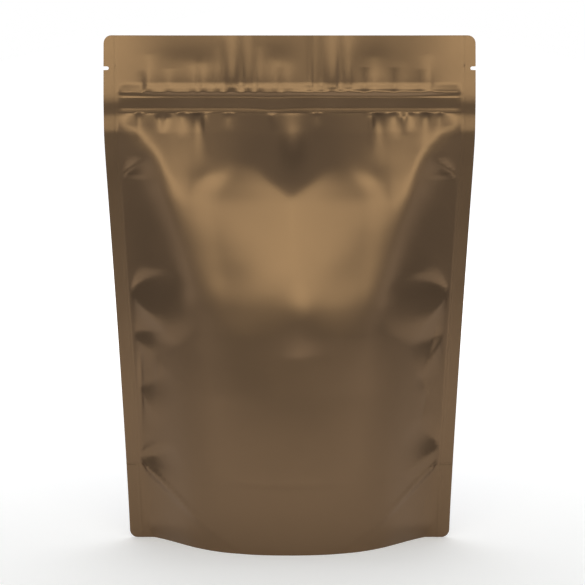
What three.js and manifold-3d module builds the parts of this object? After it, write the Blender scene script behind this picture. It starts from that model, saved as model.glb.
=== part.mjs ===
// Filled stand-up pouch of metallised film, shut by a press-to-close zipper. Millimetres, +Z up.
// The front panel faces -Y. The origin is on the floor under the middle of the base.
// Both panels are height fields over the flat panel: a point is (x, outward depth, z).
import * as THREE from 'three';
import Module from 'manifold-3d';
import { mergeVertices } from 'three/addons/utils/BufferGeometryUtils.js';

// ---- Driving dimensions of the pouch ----
const POUCH_WIDTH = 190;          // flat width of the film, and the width at the zipper
const POUCH_HEIGHT = 260;
const BASE_WIDTH = 166.2;         // the filled base pulls the side seals in to this
const BASE_HALF_DEPTH = 41;       // front panel to mid plane on the floor
const SEAL_WIDTH = 6.5;           // welded strip down each side
const SEAL_THICKNESS = 0.7;       // both films of the weld
const HEADER_THICKNESS = 0.9;     // both films above the zipper
const CORNER_RADIUS = 4;
const NOTCH_HEIGHT = 243.3;       // tear notch centre
const NOTCH_LENGTH = 2.7;
const NOTCH_RADIUS = 0.9;
const ZIP_TOP = 233.4;
const ZIP_BOTTOM = 220.5;
const WELD_HEIGHT = 41;           // where the slanting corner welds leave the side seals
const WELD_REACH = 58;            // how far in from the seal they meet the floor
const WELD_SAG = 1.4;
const WELD_SINK = 0.9;            // the welded corner lies this much below the panel
const WELD_EDGE = 3;

// ---- Body of the pouch, as knots of [height, value] from the floor up ----
const CENTRE_DEPTH = [
  [0, BASE_HALF_DEPTH], [36, 40], [72, 38], [105, 35.5], [124, 33.7], [137, 31.6], [153, 27.9],
  [182, 20.4], [ZIP_BOTTOM, 10.3],
];
// The shoulder is the soft fold between the front and the steep flank beside each seal: its place
// as a share of the half-width, and its depth as a share of the centre's.
const SHOULDER_PLACE = [
  [0, 0.6], [60, 0.598], [100, 0.61], [131, 0.64], [150, 0.685], [170, 0.766], [193, 0.85],
  [214, 0.95],
];
const SHOULDER_SHARE = [
  [0, 0.7], [60, 0.7], [110, 0.69], [131, 0.66], [153, 0.57], [170, 0.475], [182, 0.4], [193, 0.3],
  [205, 0.17], [ZIP_BOTTOM, 0],
];
// From the ridge to the shoulder a share of the fall is even, as in a tent, up to the tent's foot.
// The rest follows a power of the place.
const TENT_SHARE = [[110, 0], [131, 0.2], [153, 0.35], [182, 0.5], [205, 0.8], [ZIP_BOTTOM, 1]];
const TENT_FOOT = [[110, 0.6], [153, 0.6], [ZIP_BOTTOM, 0.52]];
const FRONT_POWER = [[0, 2], [131, 2], [153, 2.4], [182, 3.5], [ZIP_BOTTOM, 4.5]];
const RIDGE_SHIFT = [[80, 0], [120, 3], [150, 1.2], [183, 1.3], [ZIP_BOTTOM, 0]];
const RIDGE_WIDTH = 0.03;
const TENT_SOFTNESS = 0.12;
const FLANK_FOOT_SLOPE = [[0, 0.35], [40, 0.5], [100, 0.8], [150, 1]];
const FLANK_TOP_SLOPE = 0.9;
const SHOULDER_SOFTNESS = 2;
// The cap drops from the zipper onto the body. Its slope changes with the distance from the middle.
const CAP_SLOPE = [[0, 0.525], [8, 0.53], [17, 0.57], [22, 0.65], [26, 0.75], [33, 0.7], [45, 0.6], [60, 0.5]];
const CAP_SOFTNESS = 0.8;
const LEAN = [[211, 0], [219, 1], [222, 1.2], [233, 1.4], [240, 2.1], [250, 3], [POUCH_HEIGHT, 3.9]];
const PULL_POWER = 1.18;          // how the side seals draw in towards the base
const PULL_SOFTNESS = 0.05;
const FOOT_WIDTH = 4;             // the panels blend out of the seals over this width

// ---- Hollows beside the middle of the cap ----
const LOBES = [
  { x: -34.5, z: 209, reachX: 7.5, reachZ: 10.5, rise: -1.2 },
  { x: 35.5, z: 209, reachX: 7.5, reachZ: 10.5, rise: -1.1 },
];
const LOBE_POWER = 3;

// ---- Zipper ribs showing through the film: height, rise and half-width ----
const ZIP_RIBS = [
  { z: 231.2, rise: 0.7, reach: 1.6 },
  { z: 228.6, rise: 1.0, reach: 0.7 },
  { z: 226.2, rise: 1.3, reach: 1.9 },
  { z: 222.2, rise: 1.1, reach: 1.2 },
];
const ZIP_RISE = 0.35;            // the flanges of the zipper inside the film
const ZIP_EDGE = 0.8;
const CREASE_RUN_IN = 3.2;        // the header's creases grow over this height above the zipper

// ---- Soft upright creases in the header: place, rise and half-width ----
const HEADER_CREASES = [
  { x: -73, rise: 0.6, reach: 3 },
  { x: -60, rise: 0.5, reach: 3 },
  { x: -44, rise: 0.6, reach: 3 },
  { x: -28, rise: 1.6, reach: 4 },
  { x: -15, rise: 0.7, reach: 3 },
  { x: 5, rise: -0.9, reach: 5 },
  { x: 19, rise: 1.5, reach: 4.5 },
  { x: 39, rise: 0.5, reach: 4 },
  { x: 53, rise: 0.5, reach: 4 },
  { x: 74, rise: 0.8, reach: 3.5 },
];

// ---- Puckers gathered under the zipper: place, rise, half-width and length ----
const PUCKERS = [
  { x: -77, rise: 1.1, reach: 2.6, length: 14 },
  { x: -64, rise: 1.3, reach: 2.6, length: 12 },
  { x: -48, rise: 1.6, reach: 3, length: 22 },
  { x: -31, rise: 0.9, reach: 3, length: 11 },
  { x: 14, rise: 0.7, reach: 3, length: 9 },
  { x: 43, rise: 1.6, reach: 3, length: 24 },
  { x: 54, rise: 1.2, reach: 2.6, length: 14 },
  { x: 68, rise: 1.2, reach: 2.6, length: 14 },
  { x: 76, rise: 1.0, reach: 2.4, length: 12 },
];
const PUCKER_RUN_IN = 0.25;       // share of the length over which a pucker grows

// ---- Folds in the slack flanks, from a point at the seal inwards: ends in [x, z], rise and widths ----
const FLANK_FOLDS = [
  { start: [-86, 188.5], end: [-73, 197], rise: -1.8, spread: 1.6, endSpread: 4.5 },
  { start: [-83.6, 142.8], end: [-68, 143], rise: 1, spread: 1.4, endSpread: 3 },
  { start: [-82.5, 129], end: [-66, 142], rise: -2.6, spread: 1.6, endSpread: 4.5 },
  { start: [-81.5, 127.5], end: [-58, 107], rise: 2.4, spread: 1.8, endSpread: 5 },
  { start: [-82, 128.3], end: [-50, 125], rise: -2.2, spread: 1.6, endSpread: 6 },
  { start: [-80.5, 107], end: [-60, 109], rise: -1.8, spread: 1.6, endSpread: 4 },
  { start: [-79.5, 42.4], end: [-66, 54], rise: -1.5, spread: 1.4, endSpread: 3.5 },
  { start: [85.5, 188], end: [73, 197], rise: -1.8, spread: 1.6, endSpread: 4.5 },
  { start: [82.8, 142], end: [68, 142.5], rise: 1, spread: 1.4, endSpread: 3 },
  { start: [82, 129], end: [66, 141], rise: -2.6, spread: 1.6, endSpread: 4.5 },
  { start: [81, 127], end: [60, 107], rise: 2.4, spread: 1.8, endSpread: 5 },
  { start: [81.5, 128.3], end: [50, 127], rise: -2.2, spread: 1.6, endSpread: 5 },
  { start: [76, 110], end: [66, 84], rise: -1.6, spread: 1.4, endSpread: 2.6 },
  { start: [71, 77], end: [66.5, 56], rise: -1.3, spread: 1.4, endSpread: 2.4 },
  { start: [78.8, 48], end: [64, 62], rise: -1.5, spread: 1.4, endSpread: 3.5 },
];
const FOLD_PEAK = 0.25;           // share of the length where a fold is deepest
const FOLD_CREST = 0.2;           // roundness of its crest, against its width

// ---- Underside: skirt, groove and flat middle, as shares of the depth across and of the groove ----
const GROOVE_HEIGHT = 4.5;
const BASE_ROWS = [[0.93, 0], [0.85, 1], [0.72, 1], [0.58, 0], [0, 0]];

// ---- Steps of the grids ----
const PANEL_COLUMNS = 42;         // between the two seals
const COLUMN_CROWDING = 0.8;      // radians of a sine, which crowds the columns towards the seals
const ROW_STEPS = [
  [0, 40, 7],
  [40, 100, 9],
  [100, 148, 9],
  [148, 196, 7],
  [196, ZIP_BOTTOM, 5],
  [ZIP_BOTTOM, ZIP_TOP, 12],
  [ZIP_TOP, POUCH_HEIGHT, 5],
];
const CORNER_STEPS = 6;
const CUTTER_MARGIN = 2;          // cutters reach this far past the film
const CUTTER_DEPTH = 40;

const FILM_COLOUR = 0x8a6a45;
const FILM_ROUGHNESS = 0.42;
const FILM_METALNESS = 0.85;

const FRONT = 1;
const BACK = -1;
const LEFT = -1;
const RIGHT = 1;
const TOP_HALF = POUCH_WIDTH / 2;
const BASE_HALF = BASE_WIDTH / 2;

// Smooth curve through knots of [place, value], with the mean slope of its neighbours at each knot.
function curveThrough(knots, place) {
  const last = knots.length - 1;
  if (place <= knots[0][0]) return knots[0][1];
  if (place >= knots[last][0]) return knots[last][1];
  const i = knots.findIndex(([at]) => at > place) - 1;
  const slopeAt = (k) => {
    const before = knots[Math.max(k - 1, 0)];
    const after = knots[Math.min(k + 1, last)];
    return (after[1] - before[1]) / (after[0] - before[0]);
  };
  const [from, low] = knots[i];
  const [to, high] = knots[i + 1];
  const span = to - from;
  return hermite((place - from) / span, low, high, slopeAt(i) * span, slopeAt(i + 1) * span);
}

function hermite(s, start, end, startSlope, endSlope) {
  const rest = 1 - s;
  return start * (1 + 2 * s) * rest * rest + end * s * s * (3 - 2 * s)
    + startSlope * s * rest * rest - endSlope * s * s * rest;
}

const bell = (offset, reach) => Math.exp(-((offset / reach) ** 2));
const smoothRise = (from, to, value) => THREE.MathUtils.smoothstep(value, from, to);

// The lower of two numbers, rounded off over `softness` where they are near each other.
function softMin(a, b, softness) {
  return (a + b - Math.hypot(a - b, softness)) / 2;
}

// Half-width of the pouch at a height: full at the zipper, drawn in towards the filled base.
function halfWidth(z) {
  const height = softMin(z / (ZIP_BOTTOM * (1 - PULL_SOFTNESS)), 1, PULL_SOFTNESS);
  return BASE_HALF + (TOP_HALF - BASE_HALF) * Math.max(height, 0) ** PULL_POWER;
}

// Depth between the shoulders at t, a share of the half-width away from the ridge.
function frontDepth(t, z) {
  const ramp = (Math.hypot(t, RIDGE_WIDTH) - RIDGE_WIDTH) / curveThrough(SHOULDER_PLACE, z);
  const tent = Math.max(softMin(ramp / curveThrough(TENT_FOOT, z), 1, TENT_SOFTNESS), 0);
  const even = curveThrough(TENT_SHARE, z);
  const fall = even * tent + (1 - even) * ramp ** curveThrough(FRONT_POWER, z);
  return curveThrough(CENTRE_DEPTH, z) * (1 - (1 - curveThrough(SHOULDER_SHARE, z)) * fall);
}

// Depth of the side: a cubic from the seal up to the shoulder, and its tangent from there.
function flankDepth(t, z) {
  const s = (1 - t) / (1 - curveThrough(SHOULDER_PLACE, z));
  const run = hermite(Math.min(s, 1), 0, 1, curveThrough(FLANK_FOOT_SLOPE, z), FLANK_TOP_SLOPE);
  const beyond = FLANK_TOP_SLOPE * Math.max(s - 1, 0);
  return curveThrough(CENTRE_DEPTH, z) * curveThrough(SHOULDER_SHARE, z) * (run + beyond);
}

// The filled body: the lowest of front, flank and cap, with rounded meeting lines.
function bodyDepth(x, z) {
  const inner = halfWidth(z) - SEAL_WIDTH;
  const t = THREE.MathUtils.clamp(x / inner, -1, 1);
  const fromRidge = t - (curveThrough(RIDGE_SHIFT, z) / inner) * (1 - t * t);
  const body = softMin(frontDepth(Math.abs(fromRidge), z), flankDepth(Math.abs(t), z), SHOULDER_SOFTNESS);
  const cap = curveThrough(CAP_SLOPE, Math.abs(x)) * Math.max(ZIP_BOTTOM - z, 0);
  return Math.max(softMin(body, cap, CAP_SOFTNESS), 0);
}

// Fold along a line: across it the rise dies away on both sides, and along it the rise grows to
// the peak and fades out at the end.
function foldRelief(fold, x, z) {
  const [runX, runZ] = [fold.end[0] - fold.start[0], fold.end[1] - fold.start[1]];
  const [fromX, fromZ] = [x - fold.start[0], z - fold.start[1]];
  const length = Math.hypot(runX, runZ);
  const along = (fromX * runX + fromZ * runZ) / length ** 2;
  if (along <= 0 || along >= 1) return 0;
  const off = (fromX * runZ - fromZ * runX) / length;
  const spread = fold.spread + (fold.endSpread - fold.spread) * along;
  const across = Math.exp(FOLD_CREST - Math.hypot(off / spread, FOLD_CREST));
  return fold.rise * across * smoothRise(0, FOLD_PEAK, along) * (1 - smoothRise(FOLD_PEAK, 1, along));
}

function lobeRelief(lobe, x, z) {
  const away = Math.hypot((x - lobe.x) / lobe.reachX, (z - lobe.z) / lobe.reachZ);
  return lobe.rise * Math.exp(-(away ** LOBE_POWER));
}

const sumOf = (list, relief) => list.reduce((sum, item) => sum + relief(item), 0);

function zipperRelief(z) {
  const rising = smoothRise(ZIP_BOTTOM, ZIP_BOTTOM + ZIP_EDGE, z);
  const flange = rising - smoothRise(ZIP_TOP - ZIP_EDGE, ZIP_TOP, z);
  return ZIP_RISE * flange + sumOf(ZIP_RIBS, (rib) => rib.rise * bell(z - rib.z, rib.reach));
}

function headerRelief(x, z) {
  const strength = smoothRise(ZIP_TOP - ZIP_EDGE, ZIP_TOP + CREASE_RUN_IN, z);
  return strength * sumOf(HEADER_CREASES, (crease) => crease.rise * bell(x - crease.x, crease.reach));
}

function puckerRelief(pucker, x, z) {
  const drop = (ZIP_BOTTOM - z) / pucker.length;
  const strength = smoothRise(0, PUCKER_RUN_IN, drop) * (1 - smoothRise(0, 1, drop));
  return strength * pucker.rise * bell(x - pucker.x, pucker.reach);
}

// The corners under the slanting welds of the gusset are sunk a little.
function cornerSink(x, z) {
  const inward = (halfWidth(z) - SEAL_WIDTH - Math.abs(x)) / WELD_REACH;
  if (inward <= 0 || inward >= 1) return 0;
  const weld = WELD_HEIGHT * (1 - inward) ** WELD_SAG;
  return WELD_SINK * smoothRise(0, WELD_EDGE, weld - z);
}

// Outward distance of a panel from the mid plane. `mirror` is 1 on the front and -1 on the back,
// whose folds are those of the front seen from behind.
function panelDepth(x, z, mirror) {
  const seenX = x * mirror;
  const free = smoothRise(0, FOOT_WIDTH, halfWidth(z) - SEAL_WIDTH - Math.abs(x));
  const thickness = z > ZIP_BOTTOM ? HEADER_THICKNESS : SEAL_THICKNESS;
  const half = (SEAL_THICKNESS + (thickness - SEAL_THICKNESS) * free) / 2;
  const relief = zipperRelief(z) + headerRelief(seenX, z) - cornerSink(x, z)
    + sumOf(PUCKERS, (pucker) => puckerRelief(pucker, seenX, z))
    + sumOf(LOBES, (lobe) => lobeRelief(lobe, seenX, z))
    + sumOf(FLANK_FOLDS, (fold) => foldRelief(fold, seenX, z));
  return half + Math.max(bodyDepth(seenX, z) + free * relief, 0);
}

// How far the films lean back, which starts just under the zipper.
const midPlane = (z) => curveThrough(LEAN, z);

function rowHeights() {
  const rows = [];
  for (const [from, to, steps] of ROW_STEPS) {
    for (let i = 0; i < steps; i += 1) rows.push(from + ((to - from) * i) / steps);
  }
  rows.push(POUCH_HEIGHT);
  return rows;
}

// Places across a row as signed shares: beyond 1 lies the seal, up to 2 at the outer edge.
function columnShares() {
  const shares = [-2];
  for (let i = 0; i <= PANEL_COLUMNS; i += 1) {
    const place = (2 * i) / PANEL_COLUMNS - 1;
    shares.push(Math.sin(place * COLUMN_CROWDING) / Math.sin(COLUMN_CROWDING));
  }
  shares.push(2);
  return shares;
}

function acrossAt(share, z) {
  const outer = halfWidth(z);
  const inner = outer - SEAL_WIDTH;
  const size = Math.abs(share) <= 1 ? Math.abs(share) * inner : inner + (Math.abs(share) - 1) * SEAL_WIDTH;
  return Math.sign(share) * size;
}

// Triangles between two lines of points, over the columns where both lines have one.
function strip(faces, low, high) {
  for (let j = 0; j + 1 < low.length; j += 1) {
    const corners = [low[j], low[j + 1], high[j + 1], high[j]];
    if (corners.every((corner) => corner !== null)) {
      const [a, b, c, d] = corners;
      faces.push(a, b, c, a, c, d);
    }
  }
}

// Closed skin of the pouch: both panels, the edges that join them, and the underside.
function pouchGeometry() {
  const rows = rowHeights();
  const shares = columnShares();
  const left = 0;
  const right = shares.length - 1;
  const points = [];
  const faces = [];
  const addPoint = (x, y, z) => points.push(x, y, z) / 3 - 1;
  const panelRow = (z, side) => shares.map((share) => {
    const x = acrossAt(share, z);
    return addPoint(x, midPlane(z) - side * panelDepth(x, z, side), z);
  });
  const undersideRow = ([across, groove], side) => shares.map((share) => {
    if (Math.abs(share) > 1) return null;
    const x = acrossAt(share, 0);
    const depth = panelDepth(x, 0, side);
    return addPoint(x, -side * across * depth, GROOVE_HEIGHT * groove * (depth / BASE_HALF_DEPTH));
  });

  const front = rows.map((z) => panelRow(z, FRONT));
  const back = rows.map((z) => panelRow(z, BACK));
  for (let i = 0; i + 1 < rows.length; i += 1) {
    strip(faces, front[i], front[i + 1]);
    strip(faces, back[i + 1], back[i]);
    strip(faces, [back[i][left], front[i][left]], [back[i + 1][left], front[i + 1][left]]);
    strip(faces, [front[i][right], back[i][right]], [front[i + 1][right], back[i + 1][right]]);
  }
  strip(faces, front[rows.length - 1], back[rows.length - 1]);

  const inner = BASE_ROWS.slice(0, -1);
  const lines = [
    front[0],
    ...BASE_ROWS.map((row) => undersideRow(row, FRONT)),
    ...inner.reverse().map((row) => undersideRow(row, BACK)),
    back[0],
  ];
  for (let i = 0; i + 1 < lines.length; i += 1) {
    strip(faces, lines[i + 1], lines[i]);
    faces.push(front[0][left], lines[i + 1][left + 1], lines[i][left + 1]);
    faces.push(front[0][right], lines[i][right - 1], lines[i + 1][right - 1]);
  }
  faces.push(front[0][left], back[0][left], back[0][left + 1]);
  faces.push(front[0][right], back[0][right - 1], back[0][right]);

  const geometry = new THREE.BufferGeometry();
  geometry.setAttribute('position', new THREE.Float32BufferAttribute(points, 3));
  geometry.setIndex(faces);
  return geometry;
}

// Cutter that reaches through the film: an outline in x and z, carried along Y.
function cutter(outline) {
  const geometry = new THREE.ExtrudeGeometry(outline, { depth: CUTTER_DEPTH, bevelEnabled: false });
  return geometry.rotateX(Math.PI / 2).translate(0, CUTTER_DEPTH / 2, 0);
}

// What a rounded corner leaves out of the square corner at (x, z); both signs point outwards.
function cornerCutter(x, z, signX, signZ) {
  const outline = new THREE.Shape();
  const at = (dx, dz) => [x + signX * dx, z + signZ * dz];
  outline.moveTo(...at(-CORNER_RADIUS, CUTTER_MARGIN));
  for (let i = 0; i <= CORNER_STEPS; i += 1) {
    const turn = (Math.PI / 2) * (i / CORNER_STEPS);
    outline.lineTo(...at(CORNER_RADIUS * (Math.sin(turn) - 1), CORNER_RADIUS * (Math.cos(turn) - 1)));
  }
  outline.lineTo(...at(CUTTER_MARGIN, -CORNER_RADIUS));
  outline.lineTo(...at(CUTTER_MARGIN, CUTTER_MARGIN));
  return cutter(outline);
}

// Tear notch: a slot with a round inner end, open at the edge of the seal.
function notchCutter(sign) {
  const edge = halfWidth(NOTCH_HEIGHT);
  const outline = new THREE.Shape();
  outline.moveTo(sign * (edge + CUTTER_MARGIN), NOTCH_HEIGHT - NOTCH_RADIUS);
  outline.lineTo(sign * (edge + CUTTER_MARGIN), NOTCH_HEIGHT + NOTCH_RADIUS);
  for (let i = 0; i <= CORNER_STEPS; i += 1) {
    const turn = Math.PI * (i / CORNER_STEPS);
    const x = edge - NOTCH_LENGTH + NOTCH_RADIUS * (1 - Math.sin(turn));
    outline.lineTo(sign * x, NOTCH_HEIGHT + NOTCH_RADIUS * Math.cos(turn));
  }
  return cutter(outline);
}

function toSolid(wasm, geometry) {
  geometry.deleteAttribute('normal');
  geometry.deleteAttribute('uv');
  const merged = mergeVertices(geometry);
  return new wasm.Manifold(new wasm.Mesh({
    numProp: 3,
    vertProperties: Float32Array.from(merged.attributes.position.array),
    triVerts: Uint32Array.from(merged.index.array),
  }));
}

function toGeometry(solid) {
  const mesh = solid.getMesh();
  const geometry = new THREE.BufferGeometry();
  geometry.setAttribute('position', new THREE.BufferAttribute(mesh.vertProperties, 3));
  geometry.setIndex(new THREE.BufferAttribute(mesh.triVerts, 1));
  geometry.computeVertexNormals();
  return geometry;
}

const wasm = await Module();
wasm.setup();

const cutters = [LEFT, RIGHT].flatMap((sign) => [
  cornerCutter(sign * halfWidth(POUCH_HEIGHT), POUCH_HEIGHT, sign, 1),
  cornerCutter(sign * halfWidth(0), 0, sign, -1),
  notchCutter(sign),
]);
const trimmed = cutters.reduce(
  (solid, tool) => solid.subtract(toSolid(wasm, tool)),
  toSolid(wasm, pouchGeometry()),
);

const film = new THREE.MeshStandardMaterial({
  color: FILM_COLOUR,
  roughness: FILM_ROUGHNESS,
  metalness: FILM_METALNESS,
});
const pouch = new THREE.Mesh(toGeometry(trimmed), film);
pouch.name = 'pouch';

const group = new THREE.Group();
group.add(pouch);

export default group;
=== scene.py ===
"""Filled stand-up pouch of matte bronze film: its looks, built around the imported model.

The pouch stands at the origin with its front panel towards -Y. The shape classes work in
millimetres on the real pouch, and Scale turns these into the frame's metres. Each panel is a
height field over the flat panel: its depth at (x, z) is a bulge plus a sum of named forms.
"""
import logging
import math
from collections.abc import Sequence
from dataclasses import dataclass, field
from enum import Enum
from typing import Protocol

import bpy
import numpy as np
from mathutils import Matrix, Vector


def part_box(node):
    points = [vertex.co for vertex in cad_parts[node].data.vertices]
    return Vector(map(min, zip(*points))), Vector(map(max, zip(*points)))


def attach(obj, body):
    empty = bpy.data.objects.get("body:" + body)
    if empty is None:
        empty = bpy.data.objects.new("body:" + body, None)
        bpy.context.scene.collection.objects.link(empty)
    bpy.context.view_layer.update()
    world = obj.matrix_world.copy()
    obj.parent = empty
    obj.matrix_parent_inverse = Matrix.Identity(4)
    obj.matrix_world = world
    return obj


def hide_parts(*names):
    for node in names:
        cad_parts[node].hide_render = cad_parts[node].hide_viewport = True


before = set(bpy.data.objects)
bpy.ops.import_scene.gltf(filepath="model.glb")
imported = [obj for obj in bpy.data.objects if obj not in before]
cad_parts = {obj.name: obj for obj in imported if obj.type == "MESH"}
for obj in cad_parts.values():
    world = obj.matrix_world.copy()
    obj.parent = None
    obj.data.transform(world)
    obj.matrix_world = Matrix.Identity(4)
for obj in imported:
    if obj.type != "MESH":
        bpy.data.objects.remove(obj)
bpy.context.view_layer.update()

log = logging.getLogger("pouch")
Array = np.ndarray


# ---------------------------------------------------------------- formulas


def bell(offset: Array, reach: float) -> Array:
    """Gaussian bump: 1 at no offset, 1/e one reach away."""
    return np.exp(-((offset / reach) ** 2))


def rise(start: float, end: float, value: Array) -> Array:
    """Smooth step: 0 up to start, 1 from end on, and the cubic 3s^2 - 2s^3 between."""
    s = np.clip((value - start) / (end - start), 0.0, 1.0)
    return s * s * (3.0 - 2.0 * s)


def soft_min(first: Array, second: Array, softness: float) -> Array:
    """The lower of two values, rounded: their mean less half the hypotenuse of gap and softness."""
    return (first + second - np.hypot(first - second, softness)) / 2.0


def hermite(s: Array, start: Array, end: Array, start_slope: Array, end_slope: Array) -> Array:
    """Cubic through both ends: their values and slopes, each times its Hermite blend.

    Args:
        s: Share of the way, from 0 to 1.
        start: Value at 0.
        end: Value at 1.
        start_slope: Slope at 0, as the rise over the whole way.
        end_slope: Slope at 1, likewise.

    Returns:
        The values, in the shape of s.
    """
    r = 1.0 - s
    return (
        start * (1.0 + 2.0 * s) * r * r
        + end * s * s * (3.0 - 2.0 * s)
        + start_slope * s * r * r
        - end_slope * s * s * r
    )


@dataclass(frozen=True)
class Curve:
    """Smooth curve through knots of (place, value)."""

    knots: tuple[tuple[float, float], ...]

    def at(self, place: Array) -> Array:
        """Value at each place: a cubic per span, its slope at a knot the mean over both neighbours.

        Args:
            place: Places along the curve; past the ends the end values hold.

        Returns:
            The values, in the shape of place.
        """
        at, value = np.array(self.knots, float).T
        before = np.maximum(np.arange(len(at)) - 1, 0)
        after = np.minimum(np.arange(len(at)) + 1, len(at) - 1)
        slope = (value[after] - value[before]) / (at[after] - at[before])
        held = np.clip(place, at[0], at[-1])
        i = np.clip(np.searchsorted(at, held, side="right") - 1, 0, len(at) - 2)
        span = at[i + 1] - at[i]
        s = (held - at[i]) / span
        return hermite(s, value[i], value[i + 1], slope[i] * span, slope[i + 1] * span)


# ---------------------------------------------------------------- sizes of the pouch


class Face(Enum):
    """The two panels; the value is the sign that turns outward depth into -Y."""

    FRONT = 1
    BACK = -1


@dataclass(frozen=True)
class Scale:
    """Turns millimetres of the real pouch into the frame's metres."""

    metres: float

    @classmethod
    def from_frame(cls, height_mm: float) -> "Scale":
        """Scale that makes a pouch of height_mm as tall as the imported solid."""
        low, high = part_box("pouch")
        return cls((high.z - low.z) / height_mm)


@dataclass(frozen=True)
class Outline:
    """Outline of the pouch in x and z, with its side seals, corners and notches, in millimetres."""

    height: float = 260.0
    top_half: float = 95.0
    base_half: float = 83.1
    seal_width: float = 6.5
    corner_radius: float = 4.0
    notch_height: float = 243.3
    notch_length: float = 2.7
    notch_radius: float = 0.9
    zip_top: float = 233.4
    zip_bottom: float = 220.5
    pull_power: float = 1.18
    pull_softness: float = 0.05

    def half_width(self, z: Array) -> Array:
        """Half-width at z: base plus a power of the height, capped softly at the zipper."""
        share = soft_min(z / (self.zip_bottom * (1.0 - self.pull_softness)), 1.0, self.pull_softness)
        drawn_in = self.top_half - self.base_half
        return self.base_half + drawn_in * np.maximum(share, 0.0) ** self.pull_power

    def inner(self, z: Array) -> Array:
        """Half-width up to the inner edge of the side seals."""
        return self.half_width(z) - self.seal_width

    def edge(self, z: Array) -> Array:
        """Half-width of the cut edge: the half-width less circle arcs at corners and notches.

        Args:
            z: Heights in millimetres.

        Returns:
            Half-widths in millimetres.
        """
        r = self.corner_radius
        near_end = np.minimum(z, self.height - z)
        into = np.clip(r - near_end, 0.0, r)
        corner = r - np.sqrt(np.maximum(r * r - into * into, 0.0))
        from_notch = np.abs(z - self.notch_height)
        bowl = np.sqrt(np.maximum(self.notch_radius**2 - from_notch**2, 0.0))
        slot = self.notch_length - self.notch_radius
        notch = np.where(from_notch <= self.notch_radius, slot + bowl, 0.0)
        return self.half_width(z) - corner - notch


@dataclass(frozen=True)
class Films:
    """Thickness of the films, their marks, and how far seals and panels lean back, in millimetres."""

    film: float = 0.14
    seal: float = 0.36
    header: float = 0.5
    bead: float = 0.15
    bead_width: float = 0.45
    seal_lean: Curve = Curve((
        (209.5, 0), (211.5, 0.1), (219.5, 1.2), (222, 1.35), (226, 1.5), (230, 1.98), (240, 3.6),
        (250, 5.25), (260, 6.95),
    ))
    panel_lean: Curve = Curve((
        (178, 0), (190, 0.2), (219.5, 1.25), (222, 1.3), (233, 1.35), (236, 1.6), (240, 1.95),
        (250, 2.85), (260, 3.8),
    ))
    lean_blend: float = 32.0
    foot_width: float = 4.0
    gusset_top: float = 38.9
    mark_depth: float = 0.1
    mark_width: float = 0.35
    header_blend: float = 1.0

    def half_thickness(self, x: Array, z: Array, free: Array, outline: Outline) -> Array:
        """Half of the seal's thickness, blending to half of the header's above the zipper.

        A bead is added beside the seal's inner edge, and the end of the gusset marks the seal with
        a groove. Both are bells.

        Args:
            x: Places across in millimetres.
            z: Heights in millimetres.
            free: Share, 0 on the seals and 1 on the panel.
            outline: Outline of the pouch.

        Returns:
            Distance from the mid plane in millimetres.
        """
        above = rise(outline.zip_bottom - self.header_blend, outline.zip_bottom + self.header_blend, z)
        bead = self.bead * bell(np.abs(x) - outline.inner(z) - self.bead_width, self.bead_width)
        mark = self.mark_depth * bell(z - self.gusset_top, self.mark_width) * (1.0 - free)
        return (self.seal + (self.header - self.seal) * free * above) / 2.0 + bead - mark

    def lean(self, x: Array, z: Array, outline: Outline) -> Array:
        """Backward lean: the panel's, blending to the seals' beside them."""
        inside = rise(0.0, self.lean_blend, outline.inner(z) - np.abs(x))
        return self.seal_lean.at(z) + (self.panel_lean.at(z) - self.seal_lean.at(z)) * inside

    def free(self, x: Array, z: Array, outline: Outline) -> Array:
        """Share of the freedom of the film: a smooth step from the seals over the foot's width."""
        return rise(0.0, self.foot_width, outline.inner(z) - np.abs(x))


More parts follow.
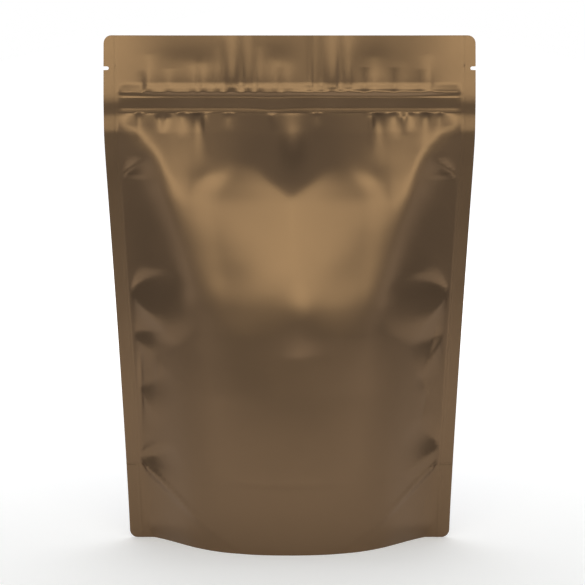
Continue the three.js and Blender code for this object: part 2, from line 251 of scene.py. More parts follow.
@dataclass(frozen=True)
class Bulge:
    """The filled body: a ridged front, a steep flank beside each seal, and a cap under the zipper.

    Across the front the depth falls from the ridge to the shoulder. A share of the fall, the
    tent's, is spread evenly up to the tent's foot, and the rest follows a power of the place.
    """

    centre_depth: Curve
    shoulder_place: Curve
    shoulder_share: Curve
    tent_share: Curve
    tent_foot: Curve
    front_power: Curve
    foot_slope: Curve
    cap_slope: Curve
    ridge_shift: Curve
    flank_top_slope: float = 0.9
    ridge_width: float = 0.03
    tent_softness: float = 0.12
    shoulder_softness: float = 0.11
    cap_softness: float = 0.55
    cap_crisp: float = 6.0

    def front(self, t: Array, z: Array) -> Array:
        """Depth between the shoulders: the centre's, less the even fall of the tent and a power's.

        Args:
            t: Shares of the half-width, never negative.
            z: Heights in millimetres.

        Returns:
            Depth in millimetres.
        """
        crest = self.ridge_width
        ramp = (np.hypot(t, crest) - crest) / self.shoulder_place.at(z)
        tent = np.maximum(soft_min(ramp / self.tent_foot.at(z), 1.0, self.tent_softness), 0.0)
        even = self.tent_share.at(z)
        fall = even * tent + (1.0 - even) * ramp ** self.front_power.at(z)
        return self.centre_depth.at(z) * (1.0 - (1.0 - self.shoulder_share.at(z)) * fall)

    def flank(self, t: Array, z: Array) -> Array:
        """Depth of the side: a cubic from the seal up to the shoulder, and its tangent from there.

        Args:
            t: Shares of the half-width, never negative.
            z: Heights in millimetres.

        Returns:
            Depth in millimetres.
        """
        s = (1.0 - t) / (1.0 - self.shoulder_place.at(z))
        top = self.flank_top_slope
        run = hermite(np.minimum(s, 1.0), 0.0, 1.0, self.foot_slope.at(z), top)
        shoulder = self.centre_depth.at(z) * self.shoulder_share.at(z)
        return shoulder * (run + top * np.maximum(s - 1.0, 0.0))

    def depth(self, x: Array, z: Array, outline: Outline) -> Array:
        """Outward depth: the lowest of front, flank and cap, with rounded meeting lines.

        Args:
            x: Place across in millimetres, as seen on this panel.
            z: Height in millimetres.
            outline: Outline of the pouch.

        Returns:
            Depth in millimetres.
        """
        share = np.clip(x / outline.inner(z), -1.0, 1.0)
        shifted = share - self.ridge_shift.at(z) / outline.inner(z) * (1.0 - share**2)
        softness = self.shoulder_softness * self.centre_depth.at(z) * self.shoulder_share.at(z)
        body = soft_min(self.front(np.abs(shifted), z), self.flank(np.abs(share), z), softness)
        drop = np.maximum(outline.zip_bottom - z, 0.0)
        softness = self.cap_softness * (1.0 - np.exp(-drop / self.cap_crisp))
        return np.maximum(soft_min(body, self.cap_slope.at(np.abs(x)) * drop, softness), 0.0)


# ---------------------------------------------------------------- forms in the film


class Form(Protocol):
    """A form in a panel, as outward relief in millimetres over the flat panel."""

    def relief(self, x: Array, z: Array, outline: Outline) -> Array:
        """Relief of the form at each point.

        Args:
            x: Places across in millimetres.
            z: Heights in millimetres.
            outline: Outline of the pouch.

        Returns:
            Outward relief in millimetres.
        """


@dataclass(frozen=True)
class ZipperBand:
    """Flanges and ribs of the press-to-close zipper, showing through the film."""

    profile: Curve
    pinch_x: float = -9.0
    pinch_reach: float = 8.0
    pinch_drop: float = 0.9

    def relief(self, x: Array, z: Array, outline: Outline) -> Array:
        """The profile over the height, drawn down at the pinch, most at the lower edge."""
        low = np.clip((outline.zip_top - z) / (outline.zip_top - outline.zip_bottom), 0.0, 1.0)
        return self.profile.at(z + self.pinch_drop * low * bell(x - self.pinch_x, self.pinch_reach))


@dataclass(frozen=True)
class Crease:
    """Fold along a line from start to end, in millimetres of x and z: a sharp or soft crest.

    Across the line the rise dies away over the spread, which widens from start to end. Along it
    the rise grows within about the share of onset and fades out towards the end.
    """

    start: tuple[float, float]
    end: tuple[float, float]
    rise: float
    spread: float
    end_spread: float
    onset: float = 0.2
    crest: float = 0.25
    bow: float = 0.0
    fade: float = 1.5

    def relief(self, x: Array, z: Array, outline: Outline) -> Array:
        """Exponential fall on both sides of a rounded crest, times the strength along the line.

        Args:
            x: Places across in millimetres.
            z: Heights in millimetres.
            outline: Outline of the pouch; not used here.

        Returns:
            Outward relief in millimetres.
        """
        run_x, run_z = self.end[0] - self.start[0], self.end[1] - self.start[1]
        length = math.hypot(run_x, run_z)
        along = ((x - self.start[0]) * run_x + (z - self.start[1]) * run_z) / length**2
        held = np.clip(along, 0.0, 1.0)
        off = ((x - self.start[0]) * run_z - (z - self.start[1]) * run_x) / length
        off = off - self.bow * 4.0 * held * (1.0 - held)
        spread = self.spread + (self.end_spread - self.spread) * held
        across = np.exp(self.crest - np.hypot(off / spread, self.crest))
        return self.rise * across * (1.0 - np.exp(-held / self.onset)) * (1.0 - held) ** self.fade


@dataclass(frozen=True)
class Dimple:
    """Soft bowl or bump, wide by reach_x and high by reach_z, turned by a number of degrees."""

    x: float
    z: float
    reach_x: float
    reach_z: float
    rise: float
    turn: float = 0.0
    power: float = 2.0

    def relief(self, x: Array, z: Array, outline: Outline) -> Array:
        """Bell over the turned distances from the middle, flatter and steeper by its power.

        Args:
            x: Places across in millimetres.
            z: Heights in millimetres.
            outline: Outline of the pouch; not used here.

        Returns:
            Outward relief in millimetres.
        """
        cos, sin = math.cos(math.radians(self.turn)), math.sin(math.radians(self.turn))
        u = (x - self.x) * cos + (z - self.z) * sin
        v = (z - self.z) * cos - (x - self.x) * sin
        return self.rise * np.exp(-(np.hypot(u / self.reach_x, v / self.reach_z) ** self.power))


@dataclass(frozen=True)
class Fan:
    """Facets that spread from a pinch point at the seal, like the folds of crushed sheet.

    Each ray has an angle in degrees, up from the level line inwards, a slope and a reach: along
    the ray the relief grows by that slope, and it dies away at the reach.
    """

    apex: tuple[float, float]
    inward: int
    rays: tuple[tuple[float, float, float], ...]
    fade: float = 1.6
    blur: float = 0.5

    def relief(self, x: Array, z: Array, outline: Outline) -> Array:
        """Slope of the ray, times the distance from the apex, times the fade.

        Args:
            x: Places across in millimetres.
            z: Heights in millimetres.
            outline: Outline of the pouch; not used here.

        Returns:
            Outward relief in millimetres.
        """
        u, v = (x - self.apex[0]) * self.inward, z - self.apex[1]
        angles, slopes, reaches = np.array(self.rays, float).T
        angle = np.degrees(np.arctan2(v, u))
        slope, reach = np.interp(angle, angles, slopes), np.interp(angle, angles, reaches)
        away = np.hypot(u, v)
        left = np.clip(1.0 - away / reach, 0.0, 1.0)
        return slope * away * left**self.fade * (1.0 - np.exp(-away / self.blur))


@dataclass(frozen=True)
class CornerWeld:
    """The gusset's slanting weld: the corner under it is sunk a little and tucked in at the floor."""

    height: float = 41.0
    reach: float = 58.0
    sag: float = 1.4
    sink: float = 0.5
    edge: float = 2.0
    tuck: float = 2.6
    tuck_height: float = 12.0
    tuck_from: float = 28.0
    tuck_to: float = 58.0

    def relief(self, x: Array, z: Array, outline: Outline) -> Array:
        """Step down below the weld's line, and a square fall towards the floor at the corners.

        Args:
            x: Places across in millimetres.
            z: Heights in millimetres.
            outline: Outline of the pouch.

        Returns:
            Outward relief in millimetres.
        """
        inward = np.clip((outline.inner(z) - np.abs(x)) / self.reach, 0.0, 1.0)
        below = rise(0.0, self.edge, self.height * (1.0 - inward) ** self.sag - z)
        low = np.clip(1.0 - z / self.tuck_height, 0.0, 1.0)
        return -self.sink * below - self.tuck * low**2 * rise(self.tuck_from, self.tuck_to, np.abs(x))


# ---------------------------------------------------------------- a panel


@dataclass(frozen=True)
class Panel:
    """One panel of film: bulge plus forms, outside half of the films' thickness."""

    outline: Outline
    films: Films
    bulge: Bulge
    face: Face
    forms: tuple[Form, ...]
    waves: tuple[Form, ...] = ()

    def depth(self, x: Array, z: Array) -> Array:
        """Outward distance of the film from the mid plane.

        Args:
            x: Places across in millimetres.
            z: Heights in millimetres.

        Returns:
            Depth in millimetres, never less than half of the seal.
        """
        free = self.films.free(x, z, self.outline)
        seen_x = x * self.face.value
        swell = self.bulge.depth(seen_x, z, self.outline)
        relief = sum(form.relief(seen_x, z, self.outline) for form in self.forms) * free
        half = self.films.half_thickness(x, z, free, self.outline)
        return half + np.maximum(swell + relief, 0.0)

    def points(self, x: Array, z: Array) -> Array:
        """Points of the film: the mid plane's lean and the header's waves, and the depth from there.

        Args:
            x: Places across in millimetres.
            z: Heights in millimetres.

        Returns:
            Points in millimetres, the three coordinates last.
        """
        free = self.films.free(x, z, self.outline)
        wave = sum((form.relief(x, z, self.outline) for form in self.waves), np.zeros_like(x)) * free
        y = self.films.lean(x, z, self.outline) - wave - self.face.value * self.depth(x, z)
        return np.stack([x, y, z], axis=-1)


# ---------------------------------------------------------------- the skin


@dataclass(frozen=True)
class Underside:
    """Lines across the base: share of the depth, and share of the groove's height."""

    groove_height: float = 5.0
    lines: tuple[tuple[float, float], ...] = (
        (0.985, 0.0), (0.975, 0.5), (0.95, 0.92), (0.91, 1.0), (0.86, 0.92), (0.8, 0.66),
        (0.72, 0.3), (0.64, 0.07), (0.56, 0.0), (0.3, 0.0), (0.0, 0.0),
    )


@dataclass
class MeshParts:
    """Points and faces gathered for one mesh."""

    points: list[Array] = field(default_factory=list)
    quads: list[Array] = field(default_factory=list)
    polygons: list[list[int]] = field(default_factory=list)
    count: int = 0

    def add_grid(self, grid: Array) -> Array:
        """Adds a grid of points.

        Args:
            grid: Points, the three coordinates last.

        Returns:
            The grid of their indices.
        """
        index = np.arange(grid[..., 0].size).reshape(grid.shape[:-1]) + self.count
        self.points.append(grid.reshape(-1, 3))
        self.count += index.size
        return index

    def add_sheet(self, index: Array) -> None:
        """Quads over a grid of indices, facing the way of columns crossed with rows."""
        corners = (index[:-1, :-1], index[:-1, 1:], index[1:, 1:], index[1:, :-1])
        self.quads.append(np.stack(corners, axis=-1).reshape(-1, 4))


@dataclass(frozen=True)
class Mesher:
    """Grid steps over the pouch, in millimetres of z and in shares across."""

    outline: Outline
    films: Films
    panel_columns: int = 172
    crowding: float = 0.9
    seal_columns: int = 9
    seal_crowding: float = 1.6
    corner_rows: int = 7
    notch_rows: int = 9
    body_step: float = 1.8
    fine_step: float = 0.8
    zip_step: float = 0.22
    header_step: float = 1.2
    mark_step: float = 0.3
    mark_reach: float = 0.9
    fine_reach: float = 16.0
    zip_margin: float = 1.0
    notch_lip: float = 0.02

    def rows(self) -> Array:
        """Heights of the rows: finest over the zipper, on arcs at the corners and notches.

        Returns:
            Heights in millimetres, from the floor up.
        """
        o = self.outline
        turn = np.linspace(0.0, math.pi / 2.0, self.corner_rows)
        foot = o.corner_radius * (1.0 - np.cos(turn))
        head = o.height - foot[::-1]
        dial = np.linspace(-math.pi / 2.0, math.pi / 2.0, self.notch_rows)
        notch = o.notch_height + o.notch_radius * np.sin(dial)
        low, high = notch[0] - self.notch_lip, notch[-1] + self.notch_lip
        mark = self.films.gusset_top
        fine = o.zip_bottom - self.fine_reach
        above = o.zip_top + self.zip_margin
        spans = [
            (foot[-1], mark - self.mark_reach, self.body_step),
            (mark - self.mark_reach, mark + self.mark_reach, self.mark_step),
            (mark + self.mark_reach, fine, self.body_step),
            (fine, o.zip_bottom, self.fine_step),
            (o.zip_bottom, above, self.zip_step),
            (above, low, self.header_step),
            (high, head[0], self.header_step),
        ]
        runs = [np.linspace(a, b, max(2, round((b - a) / step) + 1)) for a, b, step in spans]
        return np.unique(np.round(np.concatenate([foot, head, notch, *runs]), 4))

    def shares(self) -> Array:
        """Signed shares across: up to 1 inside the seals, and up to 2 at the cut edges.

        Returns:
            Shares from left to right, crowded by a sine towards the seals and by a power within them.
        """
        place = np.linspace(-1.0, 1.0, self.panel_columns + 1)
        inside = np.sin(place * self.crowding) / math.sin(self.crowding)
        seal = 1.0 + np.linspace(0.0, 1.0, self.seal_columns + 1)[1:] ** self.seal_crowding
        return np.concatenate([-seal[::-1], inside, seal])

    def across(self, shares: Array, z: Array) -> Array:
        """Places x for each row and share: within the seals' inner edge, then out to the cut edge.

        Args:
            shares: Signed shares across.
            z: Heights of the rows in millimetres.

        Returns:
            Places in millimetres, a row for each height.
        """
        inner = self.outline.inner(z)[:, None]
        edge = self.outline.edge(z)[:, None]
        size = np.abs(shares)[None, :]
        x = np.where(size <= 1.0, size * inner, inner + (size - 1.0) * (edge - inner))
        return np.sign(shares)[None, :] * x


@dataclass
class PouchFilm:
    """The film of the pouch as one closed skin, open at the mouth down to just above the zipper."""

    scale: Scale
    outline: Outline
    films: Films
    front: Panel
    back: Panel
    mesher: Mesher
    underside: Underside = field(default_factory=Underside)
    mouth_drops: tuple[float, ...] = (0.0, 0.6, 3.0, 8.0, 15.0)
    mouth_end: float = 2.0

    def base_lines(self, x: Array, front_depth: Array, back_depth: Array) -> Array:
        """Lines of the base from front to back: shares of the depth, lifted by the groove.

        Args:
            x: Places across, inside the seals.
            front_depth: Depth of the front panel on the floor.
            back_depth: Depth of the back panel on the floor.

        Returns:
            Points in millimetres, a row for each line.
        """
        near = [(share, lift, Face.FRONT, front_depth) for share, lift in self.underside.lines]
        far = [(share, lift, Face.BACK, back_depth) for share, lift in self.underside.lines[-2::-1]]
        groove = self.underside.groove_height
        most = max(front_depth.max(), back_depth.max())
        lines = [
            np.stack([x, -face.value * share * depth, groove * lift * depth / most], axis=-1)
            for share, lift, face, depth in near + far
        ]
        return np.stack(lines)

    def cap(self, parts: MeshParts, first: Array, last: Array, lines: Array, flip: bool) -> None:
        """Closes the gap between two edge rows with lines over the columns inside the seals.

        Args:
            parts: Mesh to add to.
            first: Indices of the front panel's edge row.
            last: Indices of the back panel's edge row.
            lines: Points of the lines between, over the inner columns alone.
            flip: Whether the cap faces down.
        """
        n = self.mesher.seal_columns
        inner = slice(n, len(first) - n)
        grid = np.vstack([first[inner], parts.add_grid(lines), last[inner]])
        parts.add_sheet(grid[:, ::-1] if flip else grid)
        left, right = np.arange(n), np.arange(len(first) - 1, len(first) - 1 - n, -1)
        for columns, chain, turned in ((left, grid[:, 0], not flip), (right, grid[:, -1], flip)):
            strip = np.stack([first[columns], last[columns]])
            parts.add_sheet(strip if turned else strip[:, ::-1])
            near, far = first[columns[-1]], last[columns[-1]]
            loop = [int(near), *map(int, chain), int(far)]
            parts.polygons.append(loop if turned else loop[::-1])

    def build(self) -> bpy.types.Object:
        """Builds the closed skin from both panels, the cut edges, the base and the mouth.

        Returns:
            The mesh object, at the origin.
        """
        z = self.mesher.rows()
        shares = self.mesher.shares()
        x = self.mesher.across(shares, z)
        height = np.broadcast_to(z[:, None], x.shape)
        parts = MeshParts()
        near = parts.add_grid(self.front.points(x, height))
        far = parts.add_grid(self.back.points(x, height))
        parts.add_sheet(near)
        parts.add_sheet(far[:, ::-1])
        parts.add_sheet(np.stack([far[:, 0], near[:, 0]], axis=1))
        parts.add_sheet(np.stack([near[:, -1], far[:, -1]], axis=1))
        n = self.mesher.seal_columns
        inner = slice(n, x.shape[1] - n)
        floor_x = x[0, inner]
        ground = np.zeros_like(floor_x)
        depths = (self.front.depth(floor_x, ground), self.back.depth(floor_x, ground))
        base = self.base_lines(floor_x, *depths)
        self.cap(parts, near[0], far[0], base, flip=True)
        self.cap(parts, near[-1], far[-1], self.mouth_lines(x[-1, inner]), flip=False)
        points = np.concatenate(parts.points) * self.scale.metres
        mesh = bpy.data.meshes.new("pouch_film")
        faces = np.concatenate(parts.quads).tolist() + parts.polygons
        mesh.from_pydata(points, [], faces)
        mesh.validate()
        mesh.polygons.foreach_set("use_smooth", np.ones(len(mesh.polygons), bool))
        hinge = int(np.argmin(np.abs(z - self.outline.zip_bottom)))
        self.mark_sharp_edges(mesh, near, far, (near[hinge, inner], far[hinge, inner]))
        mesh.update()
        film = bpy.data.objects.new("pouch_film", mesh)
        bpy.context.scene.collection.objects.link(film)
        return film

    def mouth_lines(self, x: Array) -> Array:
        """Lines of the narrow mouth between the two films of the header, down and up again.

        Args:
            x: Places across, inside the seals.

        Returns:
            Points in millimetres, a row for each line.
        """
        o = self.outline
        down = np.array([*(o.height - drop for drop in self.mouth_drops), o.zip_top + self.mouth_end])
        lines = []
        for panel, heights in ((self.front, down), (self.back, down[::-1])):
            for z in heights:
                level = np.full_like(x, z)
                points = panel.points(x, level)
                points[:, 1] += panel.face.value * self.films.film
                lines.append(points)
        return np.stack(lines)

    def mark_sharp_edges(
        self, mesh: bpy.types.Mesh, near: Array, far: Array, folds: Sequence[Array]
    ) -> None:
        """Marks as sharp the edges that run along the border of a panel, or along a fold.

        Args:
            mesh: Mesh of the skin.
            near: Indices of the front panel's points.
            far: Indices of the back panel's points.
            folds: Indices along each crisp fold.
        """
        border = np.zeros(len(mesh.vertices), int)
        for flag, grid in ((1, near), (2, far)):
            for line in (grid[0], grid[-1], grid[:, 0], grid[:, -1]):
                border[line] = flag
        for flag, line in enumerate(folds, start=3):
            border[line] = flag
        ends = np.zeros(len(mesh.edges) * 2, int)
        mesh.edges.foreach_get("vertices", ends)
        pair = border[ends.reshape(-1, 2)]
        sharp = (pair[:, 0] == pair[:, 1]) & (pair[:, 0] > 0)
        marks = mesh.attributes.new("sharp_edge", "BOOLEAN", "EDGE")
        marks.data.foreach_set("value", sharp)


# ---------------------------------------------------------------- finishes


@dataclass(frozen=True)
class MetallisedFilm:
    """Matte lacquer over metallised film: a soft metallic sheen with a fine grain."""

    name: str = "bronze_film"
    tint: tuple[float, float, float] = (0.168, 0.1055, 0.0592)
    roughness: float = 0.31
    metallic: float = 0.9
    mottle: float = 0.06
    cloud_size: float = 1.0 / 35.0
    cloud_roughness: float = 0.04
    grain_size: float = 0.0003
    grain_depth: float = 0.00001
    grain_strength: float = 0.5

    def build(self) -> bpy.types.Material:
        """Node material: fine noise into bump, and broad noise into tint and roughness.

        Returns:
            The material.
        """
        material = bpy.data.materials.new(self.name)
        material.use_nodes = True
        nodes, links = material.node_tree.nodes, material.node_tree.links
        shader = nodes["Principled BSDF"]
        shader.inputs["Metallic"].default_value = self.metallic
        place = nodes.new("ShaderNodeTexCoord")
        grain = nodes.new("ShaderNodeTexNoise")
        grain.inputs["Scale"].default_value = 1.0 / self.grain_size
        links.new(place.outputs["Object"], grain.inputs["Vector"])
        bump = nodes.new("ShaderNodeBump")
        bump.inputs["Distance"].default_value = self.grain_depth
        bump.inputs["Strength"].default_value = self.grain_strength
        links.new(grain.outputs["Fac"], bump.inputs["Height"])
        links.new(bump.outputs["Normal"], shader.inputs["Normal"])
        cloud = nodes.new("ShaderNodeTexNoise")
        cloud.inputs["Scale"].default_value = 1.0 / self.cloud_size
        links.new(place.outputs["Object"], cloud.inputs["Vector"])
        tints = nodes.new("ShaderNodeMix")
        tints.data_type = "RGBA"
        links.new(cloud.outputs["Fac"], tints.inputs["Factor"])
        for socket, share in (("A", 1.0 - self.mottle), ("B", 1.0 + self.mottle)):
            colours = [plug for plug in tints.inputs if plug.name == socket and plug.type == "RGBA"]
            colours[0].default_value = (*(share * part for part in self.tint), 1.0)
        mixed = next(plug for plug in tints.outputs if plug.type == "RGBA")
        links.new(mixed, shader.inputs["Base Color"])
        spread = nodes.new("ShaderNodeMapRange")
        spread.inputs["To Min"].default_value = self.roughness - self.cloud_roughness
        spread.inputs["To Max"].default_value = self.roughness + self.cloud_roughness
        links.new(cloud.outputs["Fac"], spread.inputs["Value"])
        links.new(spread.outputs["Result"], shader.inputs["Roughness"])
        return material


# ---------------------------------------------------------------- studio


@dataclass(frozen=True)
class Softbox:
    """Area light aimed at the pouch, placed by angles: azimuth 0 is in front, 90 on the right."""

    name: str
    azimuth: float
    elevation: float
    distance: float
    width: float
    height: float
    watts: float
    colour: tuple[float, float, float] = (1.0, 1.0, 1.0)

    def build(self, target: Vector) -> None:
        """Puts the light at its angles and distance from the target, facing it.

        Args:
            target: Point in metres that the light faces.
        """
        a, e = math.radians(self.azimuth), math.radians(self.elevation)
        away = Vector((math.sin(a) * math.cos(e), -math.cos(a) * math.cos(e), math.sin(e)))
        data = bpy.data.lights.new(self.name, "AREA")
        data.shape, data.size, data.size_y = "RECTANGLE", self.width, self.height
        data.energy, data.color = self.watts, self.colour
        lamp = bpy.data.objects.new(self.name, data)
        lamp.location = target + away * self.distance
        lamp.rotation_mode = "QUATERNION"
        lamp.rotation_quaternion = away.to_track_quat("Z", "Y")
        bpy.context.scene.collection.objects.link(lamp)


@dataclass(frozen=True)
class Studio:
    """Pale floor, soft lights and the camera. The table's glow is knots of (place in y, strength)."""

    camera_distance: float = 1.2
    camera_height: float = 0.2813
    aim_height: float = 0.1285
    aim_offset: float = 0.0015
    lens: float = 144.67
    table_half_width: float = 1.2
    neck_half_width: float = 0.6
    neck_back: float = 0.05
    neck_flare: float = 0.6
    table_front: float = 0.65
    table_back: float = 60.0
    table_white: float = 0.85
    table_roughness: float = 0.9
    glow: tuple[tuple[float, float], ...] = (
        (-0.65, 0.8), (-0.42, 0.75), (-0.24, 0.55), (-0.12, 0.3), (0.0, 0.3), (0.8, 0.8),
    )
    room_light: tuple[float, float, float] = (0.32, 0.33, 0.35)
    softboxes: Sequence[Softbox] = (
        Softbox("key", 0.0, 25.0, 1.6, 1.8, 0.4, 8.2, (0.98, 0.94, 0.75)),
        Softbox("ceiling", 0.0, 50.0, 1.6, 1.6, 0.85, 0.85),
        Softbox("left", -48.0, 12.0, 1.6, 0.4, 0.5, 0.6),
        Softbox("right", 48.0, 12.0, 1.6, 0.4, 0.5, 0.6),
        Softbox("rear", 180.0, 30.0, 1.8, 1.6, 0.8, 5.0),
        Softbox("overhead", 180.0, 68.0, 1.7, 1.6, 0.9, 9.0),
    )

    def build(self) -> None:
        """Makes the floor, the room light, the softboxes and the camera."""
        self.build_floor()
        self.build_room()
        target = Vector((0.0, 0.0, self.aim_height))
        for softbox in self.softboxes:
            softbox.build(target)
        self.build_camera()

    def build_floor(self) -> None:
        """Flat white table, narrow in front of the pouch, which runs far back behind it."""
        half, neck = self.table_half_width, self.neck_half_width
        right = [
            (neck, -self.table_front), (neck, self.neck_back), (half, self.neck_flare),
            (half, self.table_back),
        ]
        edge = right + [(-x, y) for x, y in reversed(right)]
        mesh = bpy.data.meshes.new("floor")
        mesh.from_pydata([(x, y, 0.0) for x, y in edge], [], [tuple(range(len(edge)))])
        floor = bpy.data.objects.new("floor", mesh)
        bpy.context.scene.collection.objects.link(floor)
        mesh.materials.append(self.table_material())

    def table_material(self) -> bpy.types.Material:
        """White that glows by its place in y: a colour ramp through the knots of the glow.

        Returns:
            The material.
        """
        paper = bpy.data.materials.new("glowing_white_table")
        paper.use_nodes = True
        shader = paper.node_tree.nodes["Principled BSDF"]
        shader.inputs["Base Color"].default_value = (*(self.table_white,) * 3, 1.0)
        shader.inputs["Roughness"].default_value = self.table_roughness
        shader.inputs["Emission Color"].default_value = (1.0, 1.0, 1.0, 1.0)
        nodes, links = paper.node_tree.nodes, paper.node_tree.links
        place, parts = nodes.new("ShaderNodeTexCoord"), nodes.new("ShaderNodeSeparateXYZ")
        share, glow = nodes.new("ShaderNodeMapRange"), nodes.new("ShaderNodeValToRGB")
        first, last = self.glow[0][0], self.glow[-1][0]
        share.inputs["From Min"].default_value, share.inputs["From Max"].default_value = first, last
        stops = glow.color_ramp.elements
        for _ in self.glow[2:]:
            stops.new(0.5)
        for stop, (at, level) in zip(stops, self.glow):
            stop.position, stop.color = (at - first) / (last - first), (level, level, level, 1.0)
        links.new(place.outputs["Object"], parts.inputs["Vector"])
        links.new(parts.outputs["Y"], share.inputs["Value"])
        links.new(share.outputs["Result"], glow.inputs["Fac"])
        links.new(glow.outputs["Color"], shader.inputs["Emission Strength"])
        return paper

    def build_room(self) -> None:
        """White room for the camera, dimmer for what the pouch reflects."""
        world = bpy.data.worlds.new("room")
        world.use_nodes = True
        nodes, links = world.node_tree.nodes, world.node_tree.links
        dim, white = nodes["Background"], nodes.new("ShaderNodeBackground")
        dim.inputs["Color"].default_value = (*self.room_light, 1.0)
        white.inputs["Color"].default_value = (1.0, 1.0, 1.0, 1.0)
        mix, path = nodes.new("ShaderNodeMixShader"), nodes.new("ShaderNodeLightPath")
        links.new(path.outputs["Is Camera Ray"], mix.inputs["Fac"])
        links.new(dim.outputs["Background"], mix.inputs[1])
        links.new(white.outputs["Background"], mix.inputs[2])
        links.new(mix.outputs["Shader"], nodes["World Output"].inputs["Surface"])
        bpy.context.scene.world = world

    def build_camera(self) -> None:
        """Long lens a little above the pouch, aimed just below its middle."""
        data = bpy.data.cameras.new("camera")
        data.lens = self.lens
        camera = bpy.data.objects.new("camera", data)
        camera.location = (self.aim_offset, -self.camera_distance, self.camera_height)
        away = camera.location - Vector((self.aim_offset, 0.0, self.aim_height))
        camera.rotation_mode = "QUATERNION"
        camera.rotation_quaternion = away.to_track_quat("Z", "Y")
        bpy.context.scene.collection.objects.link(camera)
        bpy.context.scene.camera = camera
        bpy.context.scene.view_settings.view_transform = "Standard"


# ---------------------------------------------------------------- the knots and forms of this pouch


def pouch_bulge() -> Bulge:
    """The filled shape, in knots of (height, value) from the floor up, or (place, slope) for the cap.

    Returns:
        The bulge of both panels.
    """
    return Bulge(
        centre_depth=Curve((
            (0, 41), (36, 40), (72, 38), (105, 35.6), (124, 33.4), (137, 31.0), (153, 27.2),
            (182, 19.4), (220.5, 10.3),
        )),
        shoulder_place=Curve((
            (0, 0.6), (60, 0.598), (100, 0.61), (131, 0.64), (150, 0.685), (170, 0.766), (193, 0.85),
            (214, 0.95),
        )),
        shoulder_share=Curve((
            (0, 0.7), (60, 0.7), (110, 0.69), (131, 0.66), (153, 0.57), (170, 0.475), (182, 0.4),
            (193, 0.3), (205, 0.18), (220.5, 0),
        )),
        tent_share=Curve((
            (110, 0), (131, 0.2), (153, 0.35), (182, 0.48), (193, 0.475), (205, 0.6), (220.5, 1),
        )),
        tent_foot=Curve((
            (110, 0.6), (153, 0.6), (173, 0.57), (182, 0.5), (193, 0.38), (220.5, 0.34),
        )),
        front_power=Curve(((0, 2.0), (100, 2.0), (131, 2.0), (153, 2.4), (182, 4.0), (220.5, 4.5))),
        foot_slope=Curve(((0, 0.35), (40, 0.5), (100, 0.8), (150, 1.0))),
        cap_slope=Curve((
            (0, 0.495), (8, 0.5), (16, 0.5), (21, 0.48), (28, 0.435), (35, 0.405), (41, 0.38),
            (47, 0.34), (53, 0.307), (60, 0.3), (72, 0.35), (80, 0.4),
        )),
        ridge_shift=Curve(((80, 0), (120, 3), (150, 1.2), (183, 1.3), (220.5, 0))),
    )


def uprights(
    waves: Sequence[tuple[float, float, float, float]], strength: float, widening: float, crest: float
) -> list[Crease]:
    """Upright creases that stand on the zipper's upper flange.

    Args:
        waves: For each crease its place across, amount, reach and top, in millimetres.
        strength: Rise for each millimetre of amount, negative for a hollow.
        widening: Spread at the top, as a share of the reach.
        crest: Roundness of the crests.

    Returns:
        The creases.
    """
    foot, narrow, onset = 230.8, 0.6, 0.14
    return [
        Crease((x, foot), (x, top), strength * amount, reach * narrow, reach * widening, onset, crest, fade=1)
        for x, amount, reach, top in waves
    ]


def header_waves() -> tuple[Form, ...]:
    """Pillars, hollows and wide dimples shared by both films of the header.

    Returns:
        The forms.
    """
    pillars = (
        (-72.0, 1.3, 2.3, 250), (-61.5, 0.7, 1.6, 243), (-49.0, 0.7, 1.6, 246), (-44.0, 1.0, 1.5, 246),
        (-36.7, 0.9, 1.3, 253), (-29.5, 2.2, 2.6, 264), (-21.0, 1.3, 1.8, 262), (-15.2, 1.1, 1.8, 254),
        (-7.0, 0.7, 1.6, 248), (-0.8, 0.6, 1.6, 246), (12.6, 0.8, 1.2, 262), (21.8, 2.2, 3.0, 264),
        (30.0, 1.9, 2.2, 264), (43.4, 1.0, 2.2, 249), (58.0, 0.5, 2.5, 246), (71.2, 1.3, 2.3, 250),
    )
    hollows = (
        (-75.5, 0.7, 1.3, 242), (-46.5, 0.8, 1.0, 250), (-33.7, 0.8, 1.2, 258), (-25.0, 1.6, 1.3, 264),
        (-17.7, 1.0, 1.2, 262), (-5.0, 0.7, 1.4, 244), (10.3, 1.8, 1.3, 264), (16.3, 1.3, 1.8, 262),
        (26.0, 1.5, 1.4, 264), (38.3, 1.2, 1.5, 244), (53.2, 1.2, 1.6, 244), (66.5, 0.6, 1.5, 243),
    )
    return (
        *uprights(pillars, strength=0.7, widening=1.3, crest=0.6),
        *uprights(hollows, strength=-0.65, widening=1.1, crest=0.4),
        Dimple(-50, 247, 17, 6, -0.25),
        Dimple(-6, 247.5, 9, 7, -0.3),
        Dimple(43, 245, 11, 9, -0.4),
    )


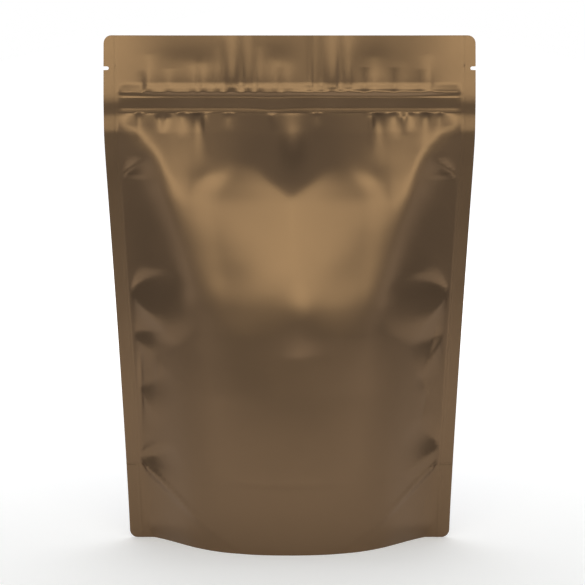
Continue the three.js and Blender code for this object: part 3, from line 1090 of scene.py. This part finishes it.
def zipper_puckers() -> tuple[Form, ...]:
    """Gathers that hang from the zipper's lower edge, from left to right.

    Returns:
        The forms.
    """
    return (
        Crease((-76.7, 221), (-76.3, 207), 1.2, 1.2, 2.0, 0.1, 0.6),
        Crease((-66.8, 220), (-65.3, 210), 1.1, 0.9, 1.2, 0.1, 0.6),
        Crease((-62.2, 220), (-63.7, 210), 1.1, 0.9, 1.2, 0.1, 0.6),
        Crease((-55, 221), (-54, 208), 0.9, 1.5, 2.4, 0.06, 0.6),
        Crease((-47, 221), (-45, 192), 2.3, 2.4, 5.0, 0.08, 0.9),
        Crease((-43.2, 220), (-41.5, 198), -1.2, 1.0, 1.8, 0.1, 0.4),
        Crease((-31, 221), (-31, 212), 0.9, 1.4, 2, 0.12, 0.6),
        Crease((-9.3, 221), (-7.5, 211), -1.0, 1.0, 1.8, 0.1, 0.4),
        Crease((14, 221), (14, 213), 0.9, 1.4, 2, 0.12, 0.6),
        Crease((45, 221), (46.5, 193), 2.2, 2.4, 5.0, 0.08, 0.9),
        Crease((41.5, 220), (42, 202), -1.2, 1.0, 1.8, 0.1, 0.4),
        Crease((53, 221), (54.5, 207), 1.0, 1.5, 2.4, 0.06, 0.6),
        Crease((58.2, 220), (58.8, 209), -1.0, 0.9, 1.4, 0.1, 0.4),
        Crease((61.8, 221), (61.6, 211), 1.0, 1.3, 1.6, 0.1, 0.6),
        Crease((69.6, 221), (68.6, 203), 1.6, 1.7, 3.2, 0.06, 0.8),
        Crease((76.8, 221), (75.5, 208), 1.0, 1.2, 2.0, 0.1, 0.6),
    )


def flank_folds() -> tuple[Form, ...]:
    """Facets of the slack film in the flanks, which start at pinch points beside the seals.

    Returns:
        The forms, the left flank's first.
    """
    return (
        Fan((-86, 188.5), 1, ((-60, 0, 12), (0, 0.12, 20), (38, -0.35, 18), (80, 0, 12))),
        Fan((-81.8, 129), 1, (
            (-92, 0, 16), (-44, 0.38, 36), (0, 0.05, 40), (25, -0.15, 28), (44, -0.42, 19),
            (75, -0.05, 14), (98, 0, 14),
        )),
        Fan((-80.3, 107), 1, ((-90, 0, 20), (-40, 0.34, 17), (20, -0.3, 20), (80, 0, 16))),
        Fan((-77.5, 79), 1, ((-90, 0, 20), (-60, 0.2, 22), (30, -0.2, 20), (90, 0, 16))),
        Fan((-79.5, 42.4), 1, (
            (-75, 0, 18), (-38, 0.25, 26), (-5, -0.12, 26), (18, -0.32, 24), (34, 0.1, 20),
            (60, -0.2, 16), (95, 0, 14),
        )),
        Crease((-67.5, 100), (-68, 62), 1.0, 1.5, 3.0, 0.3, 0.2),
        Crease((-76.8, 100), (-76.3, 48), -1.6, 0.9, 1.3, 0.15, 0.3, 0, 0.8),
        Crease((-80.5, 43.5), (-43, 13), 1.1, 0.5, 0.7, 0.05, 0.3, 0, 0.5),
        Crease((80.5, 43.5), (45, 13), 1.1, 0.5, 0.7, 0.05, 0.3, 0, 0.5),
        Fan((85.8, 188), -1, ((-60, 0, 12), (0, 0.12, 20), (38, -0.35, 18), (80, 0, 12))),
        Fan((81.8, 129), -1, (
            (-92, 0, 16), (-50, 0.38, 32), (-5, 0.05, 42), (15, -0.15, 30), (34, -0.42, 20),
            (70, -0.05, 15), (98, 0, 14),
        )),
        Fan((79, 106), -1, ((-90, 0, 20), (-60, 0.28, 24), (-10, -0.2, 20), (80, 0, 16))),
        Fan((78.8, 48), -1, ((-80, 0, 18), (-30, 0.25, 26), (48, -0.35, 22), (95, 0, 16))),
        Crease((76, 112), (66, 84), -1.4, 1.4, 2.6, 0.3, 0.2),
        Crease((66.5, 88), (71.5, 74), -1.2, 1.6, 2.4, 0.3, 0.2),
        Crease((71, 79), (66.5, 56), -1.3, 1.4, 2.4, 0.3, 0.2),
    )


def pouch_forms() -> tuple[Form, ...]:
    """All relief of a panel: zipper, dent, base and corner marks, shield, puckers, folds and welds.

    Returns:
        The forms.
    """
    zipper = Curve((
        (211, 0), (220.5, 0.26), (220.9, 0.27), (222.2, 0.2), (223.1, 0.11), (223.7, 0.11),
        (225.2, 0.22), (228.0, 0.42), (228.3, 0.45), (229.2, 0.37), (229.7, 0.4), (230.4, 0.5),
        (231.2, 0.62), (232.2, 0.5), (235.5, 0),
    ))
    heart = (Crease((0.5, 220.5), (0, 186), -1.8, 6.5, 4, 0.35, 0.8, 0, 1), Dimple(2, 205, 6.5, 9, -1.7))
    base_line = Crease((-60, 36.4), (60, 36.2), -0.12, 0.7, 0.7, 0.05, 0.4, 0, 0.1)
    corner_marks = (
        Crease((-71.7, 21.5), (-72.7, 13.5), -0.5, 0.6, 0.7, 0.1, 0.3, 0, 0.4),
        Crease((71, 21.5), (71.5, 12.5), -0.5, 0.6, 0.7, 0.1, 0.3, 1.8, 0.4),
    )
    shield = (
        Crease((6, 100), (1, 156), 3.0, 5, 24, 0.42, 1.0, 0, 1.3),
        Dimple(6, 121, 7, 12, 0.7),
        Dimple(27, 136, 13, 11, -0.5),
        Dimple(-30, 139, 12, 9, -0.3),
    )
    return (
        ZipperBand(zipper),
        Dimple(46, 231.3, 34, 1.3, 0.24, 0, 3),
        *heart,
        base_line,
        *corner_marks,
        *shield,
        *zipper_puckers(),
        *flank_folds(),
        CornerWeld(),
    )


def main() -> None:
    """Builds the studio and the pouch, and reports each piece."""
    logging.basicConfig(level=logging.INFO, format="%(name)s: %(message)s")
    Studio().build()
    log.info("studio built")
    outline, films, bulge = Outline(), Films(), pouch_bulge()
    forms, waves = pouch_forms(), header_waves()
    film = PouchFilm(
        scale=Scale.from_frame(outline.height),
        outline=outline,
        films=films,
        front=Panel(outline, films, bulge, Face.FRONT, forms, waves),
        back=Panel(outline, films, bulge, Face.BACK, forms, waves),
        mesher=Mesher(outline, films),
    ).build()
    film.data.materials.append(MetallisedFilm().build())
    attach(film, "root")
    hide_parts("pouch")
    film.data.calc_loop_triangles()
    log.info("%s: %d points, %d triangles", film.name, len(film.data.vertices), len(film.data.loop_triangles))


if __name__ == "__main__":
    main()
